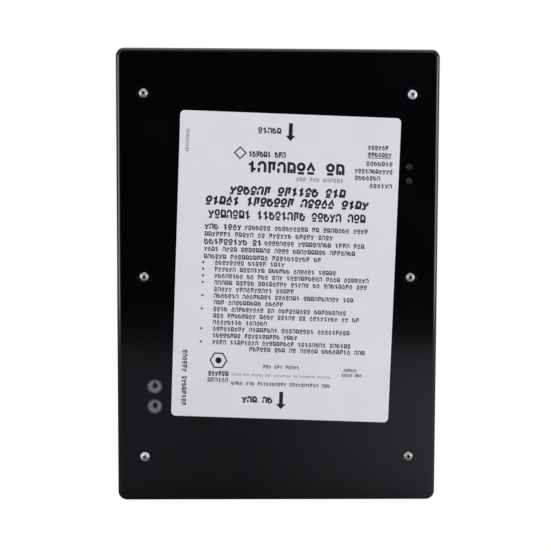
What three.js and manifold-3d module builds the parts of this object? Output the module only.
// Automatic transfer switch box for a motorhome: a moulded tub with a screwed-on front cover, a power board
// with terminal blocks and two double-throw relays inside, and indicators that show through the cover.
// It is drawn like a wall panel: x to the right, y up and z out of the wall, all in millimetres. The last
// group stands the panel up, with +Z up and the cover facing -Y.
import * as THREE from 'three';
import { mergeVertices } from 'three/addons/utils/BufferGeometryUtils.js';
import Module from 'manifold-3d';

const wasm = await Module();
wasm.setup();

// ---------------------------------------------------------------- driving dimensions
const caseWidth = 215.9;
const caseHeight = 304.8;
const caseDepth = 95;
const cornerRadius = 6;            // plan corners of cover and tub
const edgeRadius = 3;              // softened front and back edges
const wall = 3;
const gap = 0.3;                   // clearance between pieces that touch or pass through each other
const bite = 1;                    // how far joined shapes run into each other before they are united
const domeSteps = 3;               // rings in a domed screw head, lens or lamp

const coverSkirt = 14;             // depth of the cover's side wall
const lipDepth = 3;                // tongue of the cover inside the tub
const lipWall = 1.5;

const screwColumnInset = 18.5;     // screw centre to side of case
const screwRowInset = 30.4;        // outer screw rows to top and bottom of case
const headRecessRadius = 4.6;
const headRecessDepth = 0.5;
const panHead = { radius: 3.4, height: 2.3, rim: 1.0 };
const buttonHead = { radius: 3.3, height: 2.0, rim: 0.4, socket: 1.15, socketDepth: 1.2 };
const screwShankRadius = 1.6;
const screwLength = 16;
const screwPoint = 1;
const pilotSpare = 2;              // pilot hole beyond the point of the screw
const bossRadius = 5;
const bossRib = 2;
const crossRecess = { span: 3.6, web: 0.8, depth: 1.3 };

const labelWidth = 147.1;
const labelHeight = 205.1;
const labelCornerRadius = 3;
const labelThickness = 0.2;
const labelGlue = 0.05;
const labelOffset = 5.2;           // label centre to the right of the case centre line
const labelAboveMiddle = 6.2;
const labelTilt = THREE.MathUtils.degToRad(-1.9);

const serviceLens = {
  radius: 5, rim: 1, dome: 2.6, edge: 0.65, barrel: 3.6, inset: 25.4, heights: [78.3, 64.8],
};
const statusLed = {
  radius: 2.5, flange: 3.1, flangeHeight: 1, seat: 3, inset: 20.3, drops: [78.4, 87.8], proud: 1.6,
};
const serviceLamp = { radius: 3.2, height: 7 };

const entryRadius = 22;            // hole for a 1-1/4 inch strain relief
const mountingHoleRadius = 2.6;
const mountingHoleSpacing = 120;
const mountingHoleInset = 12;      // from top and bottom of the case

const boardSideMargin = 9.95;      // board to each side of the case
const boardEndMargins = { bottom: 40, top: 39.8 };
const boardThickness = 1.6;
const boardStandoff = 8;
const boardScrewInset = 9;
const boardScrewRadius = 1.5;
const boardScrewHead = { radius: 3, height: 2, edge: 1.2, crown: 1.8 };
const notchMargin = 3;             // board edge to the middle screw bosses
const standoffRadius = 4.5;
const riserThickness = 1.6;
const riserMargin = 9;             // riser board beyond its outer lamps

const pole = { pitch: 20, count: 3 };
const block = { depth: 28, height: 32, floor: 4, cell: 15, cellDepth: 20, endWall: 2 };
const lug = { sideClearance: 1, depth: 17, height: 19, wireHeight: 7.22, wireRadius: 4.6, screwRadius: 3.6 };
const inputBlockOffset = 52;       // block centres left and right of the centre line
const inputBlockDrop = 68.8;        // block centre below the top of the case
const loadBlockHeight = 72;        // block centre above the bottom of the case

const groundBar = { length: 64, width: 10, thickness: 9, foot: 8, drop: 100.8 };
const groundBarHoles = { count: 5, pitch: 11.43, wireRadius: 2.6, screwRadius: 2.1 };

const relayOffset = 40;            // relay centres left and right of the centre line
const relayBelowMiddle = 14.4;     // relay coil axes below the middle of the case
const relay = {
  width: 26, yoke: 2.5, footLength: 33, coilRadius: 12, flangeRadius: 14, coilHeight: 30, flange: 2,
  coreRadius: 4.5, poleRadius: 7, poleHeight: 2.4, heel: 20, armatureReach: 12,
  stroke: THREE.MathUtils.degToRad(3.2),
  armature: 2.5, tail: 2.2, tailWidth: 15.6, tailDrop: 16, carrierHeight: 5, carrierLength: 16,
};
const contactArm = { width: 6, thickness: 1, spread: 8, back: 7, reach: 36 };
const contactButton = { radius: 2.4, proud: 1.2, tipMargin: 0.8 };
const contactBlock = { start: 39.5, length: 8, cap: 6.96, strip: 1.2, stripReach: 10.5 };
const spring = { radius: 2.6, tabWidth: 7.3, tabMargin: 0.5 };

// The leg is half the core's middle leg.
const transformer = { x: 62, y: 77, width: 44, stack: 29, depth: 34, window: 8, leg: 8, winding: 40 };
const transformerFoot = { width: 6, height: 3 };
const capacitor = { x: 0, aboveRelay: 32, radius: 8, height: 31 };
const varistor = { radius: 10, thickness: 4.6, aboveRelay: [-12, 4], lead: 3 };
const pilotRelay = { x: -54, y: 74, width: 28, height: 13, depth: 16 };
const fuse = { x: -52, y: 98, length: 32, radius: 3.2, glass: 2.9, cap: 6, above: 2.5 };

// ---------------------------------------------------------------- places that follow from them
const lensProud = serviceLens.dome;
const seam = caseDepth - coverSkirt;
const coverInside = caseDepth - wall;
const screwColumn = caseWidth / 2 - screwColumnInset;
const screwRows = [caseHeight - screwRowInset, caseHeight / 2, screwRowInset];
const headSeat = caseDepth - headRecessDepth;
const screwHoleRadius = screwShankRadius + gap;
const boardBottom = wall + boardStandoff + gap;
const boardTop = boardBottom + boardThickness;
const boardWidth = caseWidth - 2 * boardSideMargin;
const boardHeight = caseHeight - boardEndMargins.bottom - boardEndMargins.top;
const boardCentre = boardEndMargins.bottom + boardHeight / 2;
const partsFloor = boardTop + gap;
const lensX = serviceLens.inset - caseWidth / 2;
const ledX = caseWidth / 2 - statusLed.inset;
const ledHeights = statusLed.drops.map((drop) => caseHeight - drop);
const lampTop = coverInside - serviceLens.barrel - gap;
const entryDepth = seam / 2;
const lensBarrelRadius = serviceLens.radius - serviceLens.rim;
const inputBlockHeight = caseHeight - inputBlockDrop;
const groundBarHeight = caseHeight - groundBar.drop;
const relayHeight = caseHeight / 2 - relayBelowMiddle;

// ---------------------------------------------------------------- materials
const paint = (colour, roughness, metalness = 0) =>
  new THREE.MeshStandardMaterial({ color: colour, roughness, metalness });
const blackPlastic = paint(0x0b0b0c, 0.18);
const labelFilm = paint(0xd6d8dc, 0.45);
const zincPlate = paint(0xb4b9bf, 0.35, 1);
const stainlessSteel = paint(0x9b9b9b, 0.3, 1);
const clearLens = paint(0x6e7074, 0.1);
const smokedLens = paint(0x26282a, 0.2);
const circuitBoard = paint(0x1f5a34, 0.5);
const phenolic = paint(0x1b1a19, 0.6);
const tinnedCopper = paint(0xc7c3ba, 0.35, 1);
const brass = paint(0xb5954a, 0.35, 1);
const relaySteel = paint(0x8d9094, 0.4, 1);
const coilTape = paint(0xb88a2a, 0.5);
const whiteNylon = paint(0xe0ddd2, 0.5);
const varistorCoat = paint(0x2b5fa8, 0.45);

// ---------------------------------------------------------------- shaping helpers
function toSolid(geometry) {
  const bare = geometry.clone();
  bare.deleteAttribute('normal');
  bare.deleteAttribute('uv');
  const merged = mergeVertices(bare, 1e-4);
  return new wasm.Manifold(new wasm.Mesh({
    numProp: 3,
    vertProperties: new Float32Array(merged.attributes.position.array),
    triVerts: new Uint32Array(merged.index.array),
  }));
}

function toGeometry(solid) {
  const mesh = solid.getMesh();
  const geometry = new THREE.BufferGeometry();
  geometry.setAttribute('position', new THREE.BufferAttribute(mesh.vertProperties, 3));
  geometry.setIndex(new THREE.BufferAttribute(mesh.triVerts, 1));
  geometry.computeVertexNormals();
  return geometry;
}

const joined = (first, ...others) =>
  toGeometry(others.reduce((solid, other) => solid.add(toSolid(other)), toSolid(first)));
const cutBy = (first, ...tools) =>
  toGeometry(tools.reduce((solid, tool) => solid.subtract(toSolid(tool)), toSolid(first)));
const common = (first, second) => toGeometry(toSolid(first).intersect(toSolid(second)));

function box(x0, x1, y0, y1, z0, z1) {
  const geometry = new THREE.BoxGeometry(x1 - x0, y1 - y0, z1 - z0);
  return geometry.translate((x0 + x1) / 2, (y0 + y1) / 2, (z0 + z1) / 2);
}

// A block centred on (x, y) that stands from z0 to z1.
const block3 = (x, y, width, height, z0, z1) =>
  box(x - width / 2, x + width / 2, y - height / 2, y + height / 2, z0, z1);

// A round bar that stands out of the wall from z0 to z1.
const bar = (x, y, radius, z0, z1, sides = 16) =>
  new THREE.CylinderGeometry(radius, radius, z1 - z0, sides)
    .rotateX(Math.PI / 2).translate(x, y, (z0 + z1) / 2);

// A round bar that lies along y.
const barUp = (x, z, radius, y0, y1, sides = 16) =>
  new THREE.CylinderGeometry(radius, radius, y1 - y0, sides).translate(x, (y0 + y1) / 2, z);

// A turned piece about an axis that stands out of the wall; profile pairs are [radius, z].
const turned = (x, y, profile, sides = 16) =>
  new THREE.LatheGeometry(profile.map(([r, z]) => new THREE.Vector2(r, z)), sides)
    .rotateX(Math.PI / 2).translate(x, y, 0);

function roundedOutline(width, height, radius) {
  const outline = new THREE.Shape();
  const x = width / 2 - radius;
  const y = height / 2 - radius;
  outline.absarc(x, -y, radius, -Math.PI / 2, 0);
  outline.absarc(x, y, radius, 0, Math.PI / 2);
  outline.absarc(-x, y, radius, Math.PI / 2, Math.PI);
  outline.absarc(-x, -y, radius, Math.PI, 1.5 * Math.PI);
  return outline;
}

// A rounded slab centred on the case's centre line, with both rims softened by `rim`.
function slab(width, height, radius, z0, z1, rim = 0) {
  const geometry = new THREE.ExtrudeGeometry(roundedOutline(width, height, radius), {
    depth: z1 - z0 - 2 * rim,
    bevelEnabled: rim > 0,
    bevelThickness: rim,
    bevelSize: rim,
    bevelOffset: -rim,
    bevelSegments: 3,
    curveSegments: 4,
  });
  return geometry.translate(0, caseHeight / 2, z0 + rim);
}

// ---------------------------------------------------------------- assembly
const panel = new THREE.Group();

function add(name, geometry, material, parent = panel) {
  const mesh = new THREE.Mesh(geometry, material);
  mesh.name = name;
  parent.add(mesh);
  return mesh;
}

const sides = [-1, 1];
const screwPlaces = sides.flatMap((side) => screwRows.map((y) => ({ x: side * screwColumn, y, side })));

// Case: one rounded shell, parted at the seam into the tub and the cover.
const shellOutside = slab(caseWidth, caseHeight, cornerRadius, 0, caseDepth, edgeRadius);
const innerRadius = cornerRadius - wall;
const shellInside = slab(caseWidth - 2 * wall, caseHeight - 2 * wall, innerRadius, wall, coverInside);
const everywhere = [-caseWidth, caseWidth, -wall, caseHeight + wall];

function rearHousing() {
  const walls = common(cutBy(shellOutside, shellInside), box(...everywhere, -wall, seam));
  const bossTop = coverInside - gap;
  const bosses = screwPlaces.flatMap(({ x, y, side }) => {
    const wallSide = side * (caseWidth / 2 - wall / 2);
    return [
      bar(x, y, bossRadius, wall / 2, bossTop),
      box(Math.min(x, wallSide), Math.max(x, wallSide), y - bossRib / 2, y + bossRib / 2,
        wall / 2, seam - lipDepth - gap),
    ];
  });
  const pilots = screwPlaces.map(({ x, y }) =>
    bar(x, y, screwHoleRadius, headSeat - screwLength - pilotSpare, caseDepth, 8));
  const standoffs = boardScrewPlaces.map(({ x, y }) =>
    bar(x, y, standoffRadius, wall / 2, boardBottom - gap));
  const standoffPilots = boardScrewPlaces.map(({ x, y }) =>
    bar(x, y, boardScrewRadius + gap, wall, boardTop, 8));
  const entries = [
    ...sides.map((side) => barUp(side * inputBlockOffset, entryDepth, entryRadius,
      caseHeight / 2, caseHeight + wall, 32)),
    barUp(0, entryDepth, entryRadius, -wall, caseHeight / 2, 32),
  ];
  const mountingHoles = sides.flatMap((side) => [mountingHoleInset, caseHeight - mountingHoleInset].map(
    (y) => bar(side * mountingHoleSpacing / 2, y, mountingHoleRadius, -wall, 2 * wall)));
  return cutBy(joined(walls, ...bosses, ...standoffs), ...pilots, ...standoffPilots, ...entries,
    ...mountingHoles);
}

function frontCover() {
  const shell = common(cutBy(shellOutside, shellInside), box(...everywhere, seam + gap, caseDepth + wall));
  const lipOutside = wall + gap;
  const lipInside = lipOutside + lipWall;
  const lipRoot = seam + gap + lipDepth;
  const insideLip = slab(caseWidth - 2 * lipInside, caseHeight - 2 * lipInside, innerRadius / 2,
    seam - 2 * lipDepth, coverInside);
  const lip = slab(caseWidth - 2 * lipOutside, caseHeight - 2 * lipOutside, innerRadius,
    seam - lipDepth, lipRoot);
  const root = slab(caseWidth - wall, caseHeight - wall, cornerRadius - wall / 2, seam + gap, lipRoot);
  const holes = screwPlaces.flatMap(({ x, y }) => [
    bar(x, y, screwHoleRadius, seam, caseDepth + wall, 8),
    bar(x, y, headRecessRadius, headSeat, caseDepth + wall, 24),
  ]);
  const lensHoles = serviceLens.heights.map((y) =>
    bar(lensX, y, lensBarrelRadius + gap, seam, caseDepth + wall));
  const ledHoles = ledHeights.map((y) =>
    bar(ledX, y, statusLed.radius + gap, seam, caseDepth + wall));
  const collar = cutBy(joined(lip, root), insideLip);
  return cutBy(joined(shell, collar), ...holes, ...lensHoles, ...ledHoles);
}

// The rings of a dome that rises by `rise` above a round edge at z, ending on its axis.
function domeRings(radius, z, rise) {
  return Array.from({ length: domeSteps }, (_, index) => {
    const angle = ((index + 1) / domeSteps) * Math.PI / 2;
    const onAxis = index === domeSteps - 1;
    return [onAxis ? 0 : radius * Math.cos(angle), z + rise * Math.sin(angle)];
  });
}

const screwSeat = headSeat + gap / 2;

// A cover screw before its drive is cut: point, shank, and a domed head with an upright rim.
function screwBlank(x, y, { radius, height, rim }) {
  const point = screwSeat - screwLength;
  return turned(x, y, [[0, point], [screwShankRadius, point + screwPoint], [screwShankRadius, screwSeat],
    [radius, screwSeat], [radius, screwSeat + rim], ...domeRings(radius, screwSeat + rim, height - rim)]);
}

function crossRecessPan({ x, y }) {
  const { span, web, depth } = crossRecess;
  const top = screwSeat + panHead.height;
  return cutBy(screwBlank(x, y, panHead), block3(x, y, span, web, top - depth, top + bite),
    block3(x, y, web, span, top - depth, top + bite));
}

function socketButton({ x, y }) {
  const { height, socket, socketDepth } = buttonHead;
  const top = screwSeat + height;
  return cutBy(screwBlank(x, y, buttonHead), bar(x, y, socket, top - socketDepth, top + bite, 6));
}

// Power board, notched round the middle bosses and held by a screw near each corner.
const boardScrewPlaces = sides.flatMap((side) => [-1, 1].map((end) => ({
  x: side * (boardWidth / 2 - boardScrewInset),
  y: boardCentre + end * (boardHeight / 2 - boardScrewInset),
})));

function powerBoard() {
  const notch = bossRadius + notchMargin;
  const notches = sides.map((side) => block3(side * (screwColumn + notch), caseHeight / 2,
    4 * notch, 2 * notch, 0, 2 * boardTop));
  const holes = boardScrewPlaces.map(({ x, y }) => bar(x, y, boardScrewRadius + gap, 0, 2 * boardTop, 8));
  return cutBy(block3(0, boardCentre, boardWidth, boardHeight, boardBottom, boardTop), ...notches, ...holes);
}

function boardScrew({ x, y }) {
  const { radius, height, edge, crown } = boardScrewHead;
  const point = wall + gap;
  return turned(x, y, [[0, point], [boardScrewRadius, point + screwPoint], [boardScrewRadius, partsFloor],
    [radius, partsFloor], [radius, partsFloor + edge], [crown, partsFloor + height],
    [0, partsFloor + height]]);
}

const centredRow = (count, pitch) =>
  Array.from({ length: count }, (_, index) => (index - (count - 1) / 2) * pitch);
const poleOffsets = centredRow(pole.count, pole.pitch);

// Terminal block: an insulating body with one open cell for each pole and a wire hole in front of it.
function terminalBody(x, y, wireSide) {
  const width = pole.pitch * (pole.count - 1) + block.cell + 2 * block.endWall;
  const body = block3(x, y, width, block.depth, partsFloor, partsFloor + block.height);
  const cells = [];
  const back = y - wireSide * (block.cellDepth / 2);
  const mouth = y + wireSide * block.depth;
  for (const poleX of poleOffsets) {
    cells.push(box(x + poleX - block.cell / 2, x + poleX + block.cell / 2,
      Math.min(back, mouth), Math.max(back, mouth),
      partsFloor + block.floor, partsFloor + block.height + bite));
  }
  return cutBy(body, ...cells);
}

// Wire lug: a copper block with a hole for the wire and a set screw hole that meets it.
function wireLug(x, y, wireSide) {
  const bottom = partsFloor + block.floor + gap;
  const back = y - wireSide * (block.cellDepth / 2 - gap);
  const centre = back + wireSide * lug.depth / 2;
  const wireZ = bottom + lug.wireHeight;
  const width = block.cell - 2 * lug.sideClearance;
  return cutBy(block3(x, centre, width, lug.depth, bottom, bottom + lug.height),
    barUp(x, wireZ, lug.wireRadius, centre - lug.depth, centre + lug.depth),
    bar(x, centre, lug.screwRadius, wireZ, bottom + lug.height + bite));
}

const poleNames = ['l1', 'neutral', 'l2'];
function addTerminal(owner, x, y, wireSide) {
  add(`${owner}_terminal_block`, terminalBody(x, y, wireSide), phenolic);
  poleOffsets.forEach((offset, index) =>
    add(`${owner}_lug_${poleNames[index]}`, wireLug(x + offset, y, wireSide), tinnedCopper));
}

function groundBarPiece() {
  const { length, width, thickness, foot } = groundBar;
  const { count, pitch, wireRadius, screwRadius } = groundBarHoles;
  const y = groundBarHeight;
  const top = partsFloor + foot + thickness;
  const middle = top - thickness / 2;
  const feet = sides.map((side) =>
    block3(side * (length / 2 - width / 2), y, width, width, partsFloor, partsFloor + foot + bite));
  const holes = centredRow(count, pitch).flatMap((x) => [
    barUp(x, middle, wireRadius, y - width, y + width, 10),
    bar(x, y, screwRadius, middle, top + bite, 8),
  ]);
  return cutBy(joined(block3(0, y, length, width, partsFloor + foot, top), ...feet), ...holes);
}

// Power relay: the armature rocks on the top edge of the yoke's upright leg. Heights are from the board.
const coilBase = partsFloor + relay.yoke + gap;
const poleFace = coilBase + relay.coilHeight + gap + relay.poleHeight;
const hingeLine = relay.yoke / 2 - relay.heel;
const poleGap = (relay.poleRadius - hingeLine) * Math.sin(relay.stroke) + gap;
const contactTravel = (contactArm.reach - hingeLine) * Math.sin(relay.stroke);
const armatureBottom = poleFace + poleGap;
const armatureTop = armatureBottom + relay.armature;
const carrierBottom = armatureTop + gap;
const armBottom = carrierBottom + relay.carrierHeight + gap;
const armTop = armBottom + contactArm.thickness;
const heelOutside = -relay.heel;
const tailInside = heelOutside - gap;
const tailOutside = tailInside - relay.tail;
const springAxis = tailInside - spring.radius;
const springTop = armatureBottom - relay.tailDrop - gap;
const springSeat = partsFloor + relay.yoke;

function relayYoke(x, y) {
  const halfWidth = relay.width / 2;
  const foot = box(x - halfWidth, x + halfWidth, y + heelOutside, y + heelOutside + relay.footLength,
    partsFloor, partsFloor + relay.yoke);
  const leg = box(x - halfWidth, x + halfWidth, y + heelOutside, y + heelOutside + relay.yoke,
    partsFloor, armatureBottom - gap);
  const springTab = box(x - spring.tabWidth / 2, x + spring.tabWidth / 2,
    y + springAxis - spring.radius - spring.tabMargin, y + heelOutside + bite,
    partsFloor, partsFloor + relay.yoke);
  return joined(foot, leg, springTab);
}

function relayCoil(x, y) {
  const { coilRadius, flangeRadius, coilHeight, flange, coreRadius } = relay;
  const bore = coreRadius + gap;
  const top = coilBase + coilHeight;
  const profile = [[bore, coilBase], [flangeRadius, coilBase], [flangeRadius, coilBase + flange],
    [coilRadius, coilBase + flange], [coilRadius, top - flange], [flangeRadius, top - flange],
    [flangeRadius, top], [bore, top], [bore, coilBase]];
  return turned(x, y, profile, 24);
}

function relayCore(x, y) {
  const { coreRadius, poleRadius, poleHeight } = relay;
  const profile = [[0, coilBase], [coreRadius, coilBase], [coreRadius, poleFace - poleHeight],
    [poleRadius, poleFace - poleHeight], [poleRadius, poleFace], [0, poleFace]];
  return turned(x, y, profile);
}

function relayArmature(x, y) {
  const halfWidth = relay.width / 2;
  const plate = box(x - halfWidth, x + halfWidth, y + tailOutside, y + relay.armatureReach,
    armatureBottom, armatureTop);
  const tail = box(x - relay.tailWidth / 2, x + relay.tailWidth / 2, y + tailOutside, y + tailInside,
    armatureBottom - relay.tailDrop, armatureBottom + bite);
  return joined(plate, tail);
}

const relayCarrier = (x, y) => block3(x, y + relay.armatureReach - relay.carrierLength / 2,
  relay.width, relay.carrierLength, carrierBottom, carrierBottom + relay.carrierHeight);

function relayArm(x, y) {
  const { width, back, reach } = contactArm;
  const { radius, proud, tipMargin } = contactButton;
  const strip = box(x - width / 2, x + width / 2, y - back, y + reach, armBottom, armTop);
  const tip = y + reach - radius - tipMargin;
  return joined(strip, bar(x, tip, radius, armBottom - proud, armTop + proud, 12));
}

// Fixed contacts: a tower with a strip above the moving tips (shore) and one below them (generator).
function relayContactBlock(x, y) {
  const { start, length, cap, strip, stripReach } = contactBlock;
  const { width, spread } = contactArm;
  const restTop = armTop + contactButton.proud + gap;
  const workTop = armBottom - contactButton.proud - contactTravel - gap;
  const tower = box(x - relay.width / 2, x + relay.width / 2, y + start, y + start + length,
    partsFloor, restTop + strip + cap);
  const strips = sides.flatMap((side) => [restTop, workTop - strip].map((z) =>
    box(x + side * spread - width / 2, x + side * spread + width / 2,
      y + start - stripReach, y + start + bite, z, z + strip)));
  return joined(tower, ...strips);
}

function returnSpring(x, y) {
  return bar(x, y + springAxis, spring.radius, springSeat + gap, springTop, 12);
}

function addRelay(owner, x, y) {
  add(`${owner}_relay_yoke`, relayYoke(x, y), relaySteel);
  add(`${owner}_relay_coil`, relayCoil(x, y), coilTape);
  add(`${owner}_relay_core`, relayCore(x, y), relaySteel);
  add(`${owner}_relay_armature`, relayArmature(x, y), relaySteel);
  add(`${owner}_relay_carrier`, relayCarrier(x, y), phenolic);
  add(`${owner}_relay_arm_line`, relayArm(x - contactArm.spread, y), brass);
  add(`${owner}_relay_arm_neutral`, relayArm(x + contactArm.spread, y), brass);
  add(`${owner}_relay_contact_block`, relayContactBlock(x, y), phenolic);
  add(`${owner}_relay_spring`, returnSpring(x, y), stainlessSteel);
}

// Control supply: a laminated core with two windows, and the coil wound on its middle leg.
const coreBottom = partsFloor + transformerFoot.height;

function transformerCore() {
  const { x, y, width, stack, depth, window, leg } = transformer;
  const core = block3(x, y, width, stack, coreBottom, coreBottom + depth);
  const windows = sides.map((side) => block3(x + side * (window / 2 + leg), y, window,
    stack + 2 * bite, coreBottom + leg, coreBottom + depth - leg));
  const feet = sides.map((side) => block3(x + side * (width - transformerFoot.width) / 2, y,
    transformerFoot.width, stack, partsFloor, coreBottom + bite));
  return joined(cutBy(core, ...windows), ...feet);
}

function transformerCoil() {
  const { x, y, stack, depth, window, leg, winding } = transformer;
  const wound = block3(x, y, 2 * (leg + window - gap), winding,
    coreBottom + leg + gap, coreBottom + depth - leg - gap);
  const bore = block3(x, y, 2 * (leg + gap), stack + 2 * gap, coreBottom, coreBottom + depth);
  return cutBy(wound, bore);
}

function varistorPiece(y) {
  const { radius, thickness, lead } = varistor;
  const centre = partsFloor + lead + radius;
  return barUp(0, centre, radius, y - thickness / 2, y + thickness / 2, 20);
}

function fusePiece() {
  const { x, y, length, radius, glass, cap, above } = fuse;
  const centre = partsFloor + above + radius;
  const half = length / 2;
  const outline = [[0, -half], [radius, -half], [radius, cap - half], [glass, cap - half],
    [glass, half - cap], [radius, half - cap], [radius, half], [0, half]];
  const tube = new THREE.LatheGeometry(outline.map(([r, z]) => new THREE.Vector2(r, z)), 16);
  return tube.rotateZ(Math.PI / 2).translate(x, y, centre);
}

// Riser board: stands edge-on out of the power board and carries its lamps on its front edge.
function riser(x, heights, top) {
  const low = Math.min(...heights) - riserMargin;
  const high = Math.max(...heights) + riserMargin;
  return box(x - riserThickness / 2, x + riserThickness / 2, low, high, partsFloor, top);
}

function domedLamp(x, y, radius, z0, z1) {
  const shoulder = z1 - radius;
  return turned(x, y, [[0, z0], [radius, z0], [radius, shoulder], ...domeRings(radius, shoulder, radius)]);
}

function flangedLed(x, y, z0, z1) {
  const { radius, flange, flangeHeight } = statusLed;
  return turned(x, y, [[0, z0], [flange, z0], [flange, z0 + flangeHeight], [radius, z0 + flangeHeight],
    [radius, z1 - radius], ...domeRings(radius, z1 - radius, radius)]);
}

// Service lens: a shallow dome outside the cover on a barrel that presses through it.
function lensPiece(y) {
  const { radius, dome, edge, barrel } = serviceLens;
  const foot = coverInside - barrel;
  const seat = caseDepth + gap;
  const top = caseDepth + dome;
  return turned(lensX, y, [[0, foot], [lensBarrelRadius, foot], [lensBarrelRadius, seat], [radius, seat],
    [radius, seat + edge], ...domeRings(radius, seat + edge, top - seat - edge)], 20);
}

function ratingLabel() {
  const film = new THREE.ExtrudeGeometry(roundedOutline(labelWidth, labelHeight, labelCornerRadius),
    { depth: labelThickness, bevelEnabled: false, curveSegments: 5 });
  return film.rotateZ(labelTilt)
    .translate(labelOffset, caseHeight / 2 + labelAboveMiddle, caseDepth + labelGlue);
}

// Tub and what is fixed in it.
add('rear_housing', rearHousing(), blackPlastic);
add('power_board', powerBoard(), circuitBoard);
boardScrewPlaces.forEach((place, index) => add(`board_screw_${index + 1}`, boardScrew(place), zincPlate));
addTerminal('shore', -inputBlockOffset, inputBlockHeight, 1);
addTerminal('generator', inputBlockOffset, inputBlockHeight, 1);
addTerminal('load', 0, loadBlockHeight, -1);
add('ground_bar', groundBarPiece(), brass);
addRelay('l1', -relayOffset, relayHeight);
addRelay('l2', relayOffset, relayHeight);
add('transformer_core', transformerCore(), relaySteel);
add('transformer_coil', transformerCoil(), coilTape);
add('filter_capacitor', bar(capacitor.x, relayHeight + capacitor.aboveRelay, capacitor.radius, partsFloor,
  partsFloor + capacitor.height), phenolic);
varistor.aboveRelay.forEach((rise, index) =>
  add(`varistor_l${index + 1}`, varistorPiece(relayHeight + rise), varistorCoat));
add('pilot_relay', block3(pilotRelay.x, pilotRelay.y, pilotRelay.width, pilotRelay.height,
  partsFloor, partsFloor + pilotRelay.depth), whiteNylon);
add('control_fuse', fusePiece(), clearLens);

const lampSeat = lampTop - serviceLamp.height;
add('service_riser_board', riser(lensX, serviceLens.heights, lampSeat - gap), circuitBoard);
const ledFlangeSeat = coverInside - statusLed.seat;
add('status_riser_board', riser(ledX, ledHeights, ledFlangeSeat - gap), circuitBoard);
const rank = ['upper', 'lower'];
serviceLens.heights.forEach((y, index) => {
  add(`service_lamp_${rank[index]}`, domedLamp(lensX, y, serviceLamp.radius, lampSeat, lampTop), smokedLens);
});
ledHeights.forEach((y, index) => {
  add(`status_led_${rank[index]}`, flangedLed(ledX, y, ledFlangeSeat, caseDepth + statusLed.proud),
    smokedLens);
});

// Cover and what comes away with it.
add('front_cover', frontCover(), blackPlastic);
add('rating_label', ratingLabel(), labelFilm);
serviceLens.heights.forEach((y, index) => add(`service_lens_${rank[index]}`, lensPiece(y), clearLens));
const rowNames = ['top', 'middle', 'bottom'];
const panHeadScrews = ['top_right', 'bottom_left'];
screwPlaces.forEach((place, index) => {
  const corner = `${rowNames[index % 3]}_${place.side < 0 ? 'left' : 'right'}`;
  const isPan = panHeadScrews.includes(corner);
  add(`cover_screw_${corner}`, isPan ? crossRecessPan(place) : socketButton(place),
    isPan ? zincPlate : stainlessSteel);
});

// Stand the panel up: origin under the middle of the whole depth, lenses included.
panel.rotation.x = Math.PI / 2;
panel.position.y = (caseDepth + lensProud) / 2;
const transferSwitch = new THREE.Group();
transferSwitch.add(panel);

export default transferSwitch;
